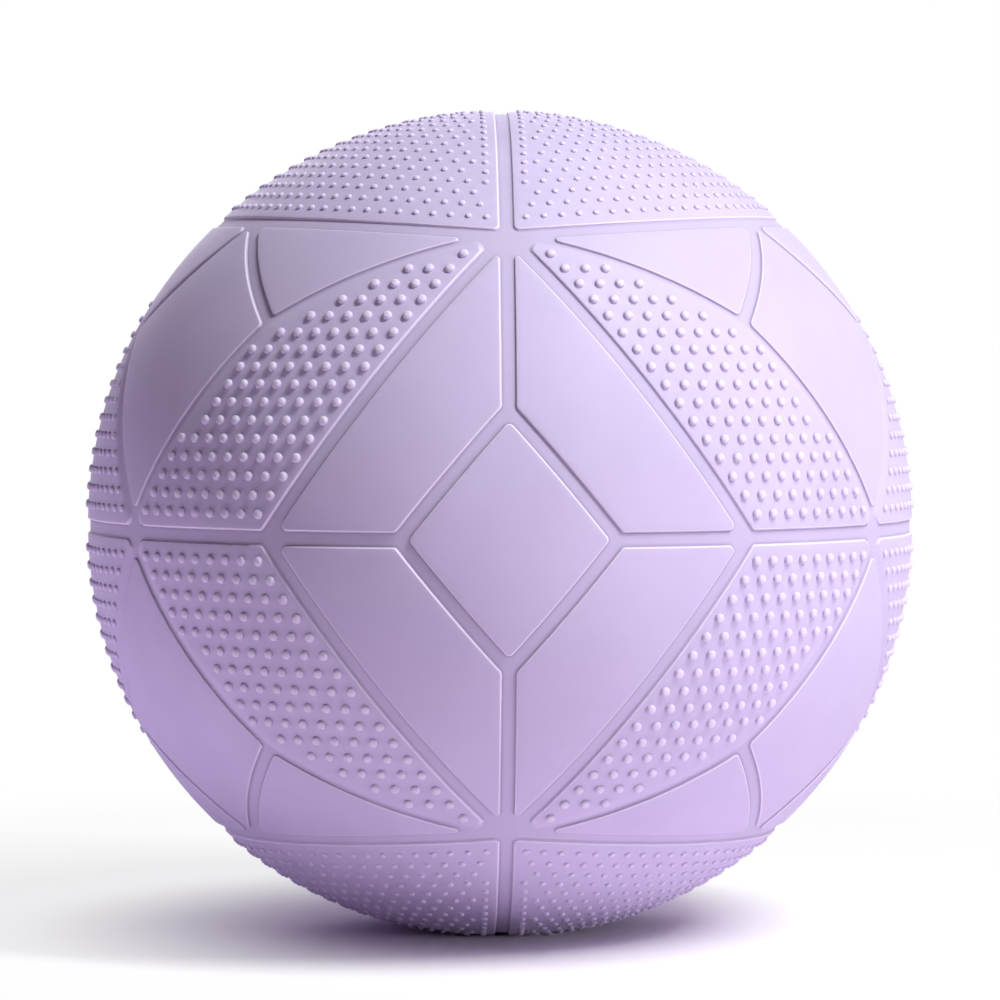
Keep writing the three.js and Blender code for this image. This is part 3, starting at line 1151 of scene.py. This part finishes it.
@dataclass(frozen=True)
class MouldedFinish:
    """Rubber or plastic, moulded against a finely blasted steel mould.

    The eye sees a satin skin with a faint cloudy tone and a fine grain that breaks up the highlights.
    Its lips and stud tops are painted paler, as painted highlight, and its corners deeper, as painted shade.
    """

    name: str
    pale: str
    deep: str
    roughness: float
    # The paler colour of the painted highlight on lips and stud tops
    painted_highlight: str = "#EAE2F5"
    # Painted shade in the corners: its deep colour, its reach, and where it fades out
    painted_corner_shade: str | None = None
    corner_reach: float = 1.2 * MM
    corner_samples: int = 6
    fully_shaded_below: float = 0.5
    unshaded_above: float = 0.92
    cloud_size: float = 35 * MM
    cloud_detail: float = 3.0
    cloud_roughness: float = 0.55
    grain_size: float = 0.8 * MM
    grain_detail: float = 2.0
    grain_roughness: float = 0.6
    grain_height: float = 0.035 * MM
    grain_strength: float = 0.5
    noise_low: float = 0.3
    noise_high: float = 0.7
    roughness_spread: float = 0.05
    ior: float = 1.5
    specular: float = 0.38
    sheen: float = 0.1

    def material(self) -> bpy.types.Material:
        """Make the finish as a node material.

        Returns:
            The material.
        """
        material, tree = new_material(self.name)
        place = {"Vector": add_node(tree, "TexCoord").outputs["Object"]}
        clouds = {
            "Scale": 1 / self.cloud_size,
            "Detail": self.cloud_detail,
            "Roughness": self.cloud_roughness,
        }
        cloud = add_node(tree, "TexNoise", clouds, place).outputs["Fac"]
        # The real grain is too fine to show from a step away, so it is drawn about twice as coarse.
        grains = {
            "Scale": 1 / self.grain_size,
            "Detail": self.grain_detail,
            "Roughness": self.grain_roughness,
        }
        grain = add_node(tree, "TexNoise", grains, place).outputs["Fac"]
        noise = {"From Min": self.noise_low, "From Max": self.noise_high}
        tone = add_node(tree, "MapRange", noise, {"Value": cloud}).outputs["Result"]
        tones = {"data_type": "RGBA", 6: hex_colour(self.deep), 7: hex_colour(self.pale)}
        colour = add_node(tree, "Mix", tones, {0: tone}).outputs[2]
        # Painted highlight: the marked lips and stud tops are mixed towards the paler colour.
        lip = add_node(tree, "Attribute", {"attribute_name": LIP_HIGHLIGHT}).outputs["Fac"]
        highlight_tones = {"data_type": "RGBA", 7: hex_colour(self.painted_highlight)}
        shown = add_node(tree, "Mix", highlight_tones, {0: lip, 6: colour}).outputs[2]
        # Painted shade: the colour deepens in the corners.
        if self.painted_corner_shade:
            shown = self.corner_shaded(tree, shown)
        least, most = self.roughness - self.roughness_spread, self.roughness + self.roughness_spread
        satin = noise | {"To Min": least, "To Max": most}
        rough = add_node(tree, "MapRange", satin, {"Value": grain}).outputs["Result"]
        relief = {"Strength": self.grain_strength, "Distance": self.grain_height}
        bump = add_node(tree, "Bump", relief, {"Height": grain}).outputs["Normal"]
        skin = add_node(
            tree,
            "BsdfPrincipled",
            {"IOR": self.ior, "Specular IOR Level": self.specular, "Sheen Weight": self.sheen},
            {"Base Color": shown, "Roughness": rough, "Normal": bump},
        )
        add_node(tree, "OutputMaterial", links={"Surface": skin.outputs["BSDF"]})
        return material

    def corner_shaded(self, tree: Tree, colour: Socket) -> Socket:
        """Paint shade into the corners, where a wall stands close by, by deepening the colour.

        Args:
            tree: The material's tree.
            colour: The colour in the open.

        Returns:
            The colour with painted shade in its corners.
        """
        corner = {"samples": self.corner_samples, "Distance": self.corner_reach}
        openness = add_node(tree, "AmbientOcclusion", corner).outputs["AO"]
        fading = {"From Min": self.fully_shaded_below, "From Max": self.unshaded_above, "To Min": 1.0, "To Max": 0.0}
        share = add_node(tree, "MapRange", fading, {"Value": openness}).outputs["Result"]
        shade_tones = {"data_type": "RGBA", 7: hex_colour(self.painted_corner_shade)}
        return add_node(tree, "Mix", shade_tones, {0: share, 6: colour}).outputs[2]


# Lavender thermoplastic rubber, soft and satin, with painted shade in its corners; the carcass is painted a
# little deeper, as painted shade on the channel floors
PANEL_RUBBER = MouldedFinish("moulded_lavender_rubber", "#CAC0E1", "#C4BADB", 0.64, painted_corner_shade="#48365F")
STUDDED_RUBBER = MouldedFinish("moulded_lavender_studded_rubber", "#CAC0E1", "#C4BADB", 0.64)
CARCASS_RUBBER = MouldedFinish("moulded_lavender_carcass_rubber", "#C4BADA", "#BEB4D4", 0.66, painted_corner_shade="#48365F")

# A firmer violet rubber with a little more gloss
SEAT_RUBBER = MouldedFinish("moulded_violet_valve_rubber", "#A893C6", "#A08ABF", 0.5)

# Dull black latex, out of sight
BLADDER_RUBBER = MouldedFinish("dipped_black_bladder_rubber", "#2A272E", "#232127", 0.65)

# White polypropylene, the smoothest and glossiest of them
PLUG_PLASTIC = MouldedFinish(
    "moulded_white_polypropylene", "#EDEAF1", "#E6E2EC", 0.35, grain_height=0.01 * MM
)


@dataclass
class Carcass:
    """The carcass under the panels, which is the floor of the channels."""

    fineness: int = 7
    wall: float = 1.0 * MM

    def build(self, valve_hole: Piece) -> Piece:
        """Model the carcass as a thin pressed ball with a hole for the valve.

        Args:
            valve_hole: The round cutter for the hole, about the middle of the ball.

        Returns:
            The carcass.
        """
        add = bpy.ops.mesh.primitive_ico_sphere_add
        carcass = start_piece("carcass_shell", add, subdivisions=self.fineness, radius=FLOOR_RADIUS)
        apply_modifier(carcass, "SOLIDIFY", thickness=self.wall, offset=-1.0)
        cut_away(carcass, valve_hole)
        lift(carcass)
        press_to_floor(carcass)
        shade(carcass)
        fit(carcass, "ball", "carcass", Slot.CARCASS)
        return carcass


@dataclass
class Valve:
    """The moulded valve seat at the back of the ball and the push-in plug that closes it."""

    stem_radius: float = 2.8 * MM
    clearance: float = 0.3 * MM
    sleeve_wall: float = 1.6 * MM
    lip: float = 1.7 * MM
    head_thickness: float = 1.6 * MM
    tip_chamfer: float = 0.8 * MM
    flange_width: float = 4.0 * MM
    flange_thickness: float = 1.2 * MM
    flange_depth: float = 4.6 * MM
    edge_round: float = 0.3 * MM
    edge_steps: int = 3
    edge_angle: float = math.radians(35)
    rib_share: float = 0.6
    rib_places: tuple[float, float] = (0.4, 0.65)
    rim_share: float = 0.8
    dish_share: float = 0.66
    dish_depth: float = 0.35 * MM
    notch_radius: float = 1.1 * MM
    notch_share: float = 0.2
    hole_flare: float = 0.6 * MM
    flare_overrun: float = 1.5
    flare_steps: int = 4
    sides: int = 64
    on_axis: float = 1e-7
    weld: float = 0.002 * MM

    @property
    def head_radius(self) -> float:
        """The radius of the plug's head, from the frame."""
        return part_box("air_plug")[1].x

    @property
    def pocket_radius(self) -> float:
        """The radius of the pocket that the head sits in."""
        return self.head_radius + self.clearance

    @property
    def neck_radius(self) -> float:
        """The outer radius of the seat's neck."""
        return self.pocket_radius + self.lip

    @property
    def head_floor(self) -> float:
        """Where the plug's head starts, along Y."""
        return MOUTH - self.head_thickness

    def turned(self, name: str, profile: list[tuple[float, float]]) -> Piece:
        """Turn a closed profile about the Y axis, by drawing a circle out ring by ring.

        Args:
            name: The piece's name.
            profile: Points of radius and distance along Y. One that starts off the axis ends where it starts.

        Returns:
            The turned solid.
        """
        add = bpy.ops.mesh.primitive_circle_add
        upright = (math.pi / 2, 0, 0)
        piece = start_piece(name, add, vertices=self.sides, radius=1.0, location=MIDDLE, rotation=upright)
        bpy.ops.object.transform_apply(location=True, rotation=True, scale=True)
        with editing(piece, "EDGE"):
            bpy.ops.mesh.select_all(action="SELECT")
            for step, (radius, along) in enumerate(profile):
                if step:
                    bpy.ops.mesh.extrude_edges_indiv()
                with edit_mesh(piece) as mesh:
                    for point in mesh.verts:
                        if point.select:
                            ray = Vector((point.co.x, 0, point.co.z)).normalized()
                            point.co = ray * max(radius, self.on_axis) + Vector((0, along, 0))
            bpy.ops.mesh.select_all(action="SELECT")
            bpy.ops.mesh.remove_doubles(threshold=self.weld)
            bpy.ops.mesh.normals_make_consistent(inside=False)
        return piece

    def hole(self) -> Piece:
        """Model the cutter for the hole round the neck, flared where it leaves the panel's face.

        Returns:
            The cutter, about the middle of the ball.
        """
        radius = self.neck_radius + self.clearance / 2
        flare = self.hole_flare
        face = math.sqrt(BALL_RADIUS ** 2 - radius ** 2)
        floor = BALL_RADIUS / 2
        profile = [(0.0, floor), (radius, floor)]
        for step in range(self.flare_steps + 1):
            turn = math.pi / 2 * step / self.flare_steps
            profile.append((radius + flare * (1 - math.cos(turn)), face - flare + flare * math.sin(turn)))
        profile += [(radius + flare * self.flare_overrun, face + flare), (0.0, face + flare)]
        return self.turned("valve_hole", profile)

    def build_seat(self) -> Piece:
        """Model the seat: sleeve, flange inside the bladder, neck and the pocket for the plug's head.

        Returns:
            The seat.
        """
        bore = self.stem_radius + self.clearance
        sleeve = bore + self.sleeve_wall
        flange = self.neck_radius + self.flange_width
        pocket_floor = self.head_floor - self.clearance
        flange_top = MOUTH - self.flange_depth
        flange_floor = flange_top - self.flange_thickness
        seat = self.turned("valve_neck", [
            (bore, PLUG_TIP),
            (sleeve, PLUG_TIP),
            (sleeve, flange_floor),
            (flange, flange_floor),
            (flange, flange_top),
            (self.neck_radius, flange_top),
            (self.neck_radius, MOUTH),
            (self.pocket_radius, MOUTH),
            (self.pocket_radius, pocket_floor),
            (bore, pocket_floor),
            (bore, PLUG_TIP),
        ])
        self.finish(seat)
        fit(seat, "ball", "valve_seat", Slot.VALVE_SEAT)
        return seat

    def build_plug(self) -> Piece:
        """Model the plug: ribbed stem, dished head and a fingernail notch in its rim.

        Returns:
            The plug.
        """
        rib = self.clearance * self.rib_share
        stem = self.stem_radius
        profile = [
            (0.0, PLUG_TIP),
            (stem - self.tip_chamfer, PLUG_TIP),
            (stem, PLUG_TIP + self.tip_chamfer),
        ]
        for share in self.rib_places:
            middle = PLUG_TIP + (self.head_floor - PLUG_TIP) * share
            profile += [(stem, middle - rib * 2), (stem + rib, middle), (stem, middle + rib * 2)]
        profile += [
            (stem, self.head_floor),
            (self.head_radius, self.head_floor),
            (self.head_radius, MOUTH),
            (self.head_radius * self.rim_share, MOUTH),
            (self.head_radius * self.dish_share, MOUTH - self.dish_depth),
            (0.0, MOUTH - self.dish_depth),
        ]
        plug = self.turned("push_in_plug", profile)
        spot = (0, MOUTH, -self.head_radius - self.notch_radius * self.notch_share)
        add = bpy.ops.mesh.primitive_uv_sphere_add
        notch = start_piece("notch", add, radius=self.notch_radius, location=spot)
        cut_away(plug, notch)
        bpy.data.objects.remove(notch)
        self.finish(plug)
        fit(plug, "plug", "air_plug", Slot.AIR_PLUG)
        return plug

    def finish(self, piece: Piece) -> None:
        """Round a turned piece's edges and lift it to its height.

        Args:
            piece: The turned piece.
        """
        apply_modifier(
            piece,
            "BEVEL",
            width=self.edge_round,
            segments=self.edge_steps,
            limit_method="ANGLE",
            angle_limit=self.edge_angle,
        )
        lift(piece)
        shade(piece, self.edge_angle)


@dataclass(frozen=True)
class Softbox:
    """A soft lamp at a distance from the ball, which faces the ball or lies on the floor and faces up."""

    name: str
    way: Vector
    width: float
    height: float
    power: float
    colour: str = WHITE
    distance: float = 1.7
    lying: bool = False

    def hang(self) -> None:
        """Hang the lamp in its direction from the middle of the ball."""
        lamp = bpy.data.lights.new(self.name, "AREA")
        lamp.shape = "RECTANGLE"
        lamp.size, lamp.size_y = self.width, self.height
        lamp.energy = self.power
        lamp.color = hex_colour(self.colour)[:3]
        softbox = bpy.data.objects.new(self.name, lamp)
        softbox.location = UP * CENTRE_HEIGHT + self.way * self.distance
        facing = UP if self.lying else -self.way
        softbox.rotation_euler = facing.to_track_quat("-Z", "Y").to_euler()
        softbox.visible_camera = False
        bpy.context.collection.objects.link(softbox)


@dataclass
class Studio:
    """A pale floor, key, side, back and rim lights, two cards on the floor, a faint fill, and the camera."""

    lamps: tuple[Softbox, ...] = (
        Softbox("key_light", direction(54, 54), 0.2, 1.0, power=32.8),
        Softbox("side_light", direction(56, 5), 0.8, 0.25, power=6.2),
        Softbox("back_light", direction(-170, 20), 1.2, 0.6, power=8.0, colour="#FBF4FF"),
        Softbox("rim_light", direction(-130, 8), 1.0, 0.5, power=2.4, colour="#D6B6FF"),
        Softbox("left_card", direction(-71, -29.7), 0.12, 0.12, 0.065, "#E2CBFF", distance=0.244, lying=True),
        Softbox("right_card", direction(41, -29.6), 0.12, 0.12, 0.02, "#F4EAFF", distance=0.244, lying=True),
    )
    fill_colour: str = "#FFB4FF"
    fill_strength: float = 0.03
    floor_colour: str = "#FFEFFF"
    floor_size: float = 12.0
    floor_gap: float = 0.1 * MM
    shadow_start: float = 0.045
    shadow_end: float = 0.16
    faint_shadow: float = 0.2
    faint_end: float = 0.45
    picture_width: float = 1000.0
    ball_column: float = 500.0
    ball_row: float = 523.5
    ball_pixels: float = 412.0
    camera_distance: float = 10 * BALL_RADIUS
    camera_yaw: float = math.radians(1.2)
    camera_pitch: float = math.radians(1.85)
    sensor_width: float = 36.0
    nearest_seen: float = 0.01

    def build(self) -> None:
        """Set up the stage, the lights and the camera."""
        self.lay_floor()
        for lamp in self.lamps:
            lamp.hang()
        self.set_fill()
        self.set_camera()
        bpy.context.scene.view_settings.view_transform = "Standard"

    def lay_floor(self) -> None:
        """Lay a pale floor that keeps the ball's shadow near it and fades to white away from it."""
        add = bpy.ops.mesh.primitive_plane_add
        floor = start_piece("studio_floor", add, size=self.floor_size, location=(0, 0, -self.floor_gap))
        material, tree = new_material("matt_white_floor")
        place = add_node(tree, "TexCoord").outputs["Object"]
        away = add_node(tree, "VectorMath", {"operation": "LENGTH"}, {0: place}).outputs["Value"]
        smooth = {"interpolation_type": "SMOOTHSTEP", "From Min": self.shadow_start}
        near = smooth | {"From Max": self.shadow_end, "To Max": 1 - self.faint_shadow}
        far = smooth | {"From Max": self.faint_end}
        near_fade = add_node(tree, "MapRange", near, {"Value": away}).outputs["Result"]
        far_fade = add_node(tree, "MapRange", far, {"Value": away}).outputs["Result"]
        fade = add_node(tree, "Math", {"operation": "MAXIMUM"}, {0: near_fade, 1: far_fade}).outputs[0]
        seen = self.seen_directly(tree)
        colours = {"data_type": "RGBA", 6: hex_colour(self.floor_colour), 7: hex_colour(WHITE)}
        colour = add_node(tree, "Mix", colours, {0: seen}).outputs[2]
        paint = add_node(tree, "BsdfDiffuse", links={"Color": colour}).outputs[0]
        white = add_node(tree, "Emission", {"Strength": 1.0}).outputs[0]
        far_share = add_node(tree, "Math", {"operation": "MULTIPLY"}, {0: fade, 1: seen}).outputs[0]
        shown = add_node(tree, "MixShader", links={0: far_share, 1: paint, 2: white}).outputs[0]
        add_node(tree, "OutputMaterial", links={"Surface": shown})
        dress(floor, material)

    @staticmethod
    def seen_directly(tree: Tree) -> Socket:
        """Add nodes that tell the rays that show the background from the rays that light the ball.

        Args:
            tree: The tree of the floor's material or the world.

        Returns:
            The socket that is 1 for what the camera sees, also in gloss and through clear things.
        """
        light = add_node(tree, "LightPath").outputs
        either = {"operation": "MAXIMUM"}
        rays = {0: light["Is Camera Ray"], 1: light["Is Glossy Ray"]}
        seen = add_node(tree, "Math", either, rays).outputs[0]
        return add_node(tree, "Math", either, {0: seen, 1: light["Is Transmission Ray"]}).outputs[0]

    def set_fill(self) -> None:
        """Fill the shade evenly with a faint lavender from all round, and show white behind the ball."""
        world = bpy.data.worlds.new("studio_fill")
        bpy.context.scene.world = world
        world.use_nodes = True
        tree = world.node_tree
        tree.nodes.clear()
        seen = self.seen_directly(tree)
        faint = {"Color": hex_colour(self.fill_colour), "Strength": self.fill_strength}
        fill = add_node(tree, "Background", faint).outputs[0]
        white = add_node(tree, "Background", {"Color": hex_colour(WHITE), "Strength": 1.0}).outputs[0]
        shown = add_node(tree, "MixShader", links={0: seen, 1: fill, 2: white}).outputs[0]
        add_node(tree, "OutputWorld", links={"Surface": shown})

    def set_camera(self) -> None:
        """Set the camera where the ball fills the picture as in the photograph."""
        distances = self.camera_distance / BALL_RADIUS
        focal_pixels = self.ball_pixels * math.sqrt(distances ** 2 - 1)
        yaw, pitch = self.camera_yaw, self.camera_pitch
        forward = Vector((math.sin(yaw) * math.cos(pitch), math.cos(yaw) * math.cos(pitch), -math.sin(pitch)))
        right = Vector((math.cos(yaw), -math.sin(yaw), 0))
        above = right.cross(forward)
        half = self.picture_width / 2
        ball = forward.copy()
        ball += right * ((self.ball_column - half) / focal_pixels)
        ball -= above * ((self.ball_row - half) / focal_pixels)
        lens = bpy.data.cameras.new("camera")
        lens.sensor_width = self.sensor_width
        lens.lens = self.sensor_width * focal_pixels / self.picture_width
        lens.clip_start = self.nearest_seen
        camera = bpy.data.objects.new("camera", lens)
        camera.location = UP * CENTRE_HEIGHT - ball.normalized() * self.camera_distance
        camera.rotation_euler = Matrix((right, above, -forward)).transposed().to_euler()
        bpy.context.collection.objects.link(camera)
        bpy.context.scene.camera = camera


def main() -> None:
    """Build the ball piece by piece, dress it and set the stage."""
    logging.basicConfig(level=logging.INFO, format="%(message)s")
    finishes = {
        Slot.SMOOTH_PANEL: PANEL_RUBBER.material(),
        Slot.STUDDED_PANEL: STUDDED_RUBBER.material(),
        Slot.CARCASS: CARCASS_RUBBER.material(),
        Slot.BLADDER: BLADDER_RUBBER.material(),
        Slot.VALVE_SEAT: SEAT_RUBBER.material(),
        Slot.AIR_PLUG: PLUG_PLASTIC.material(),
    }
    valve = Valve()
    hole = valve.hole()
    panels = Panels().build()
    lifted_hole = own_copy(hole, "lifted_hole")
    lift(lifted_hole)
    cut_away(bpy.data.objects["diamond_back"], lifted_hole)
    pieces = [*panels, Carcass().build(hole), valve.build_seat(), valve.build_plug()]
    bpy.data.objects.remove(lifted_hole)
    bpy.data.objects.remove(hole)
    for piece in pieces:
        dress(piece, finishes[Slot(piece["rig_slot"])])
        LOG.info("%s: %d faces", piece.name, len(piece.data.polygons))
    dress(frame["nodes"]["bladder"], finishes[Slot.BLADDER])
    Studio().build()


if __name__ == "__main__":
    main()
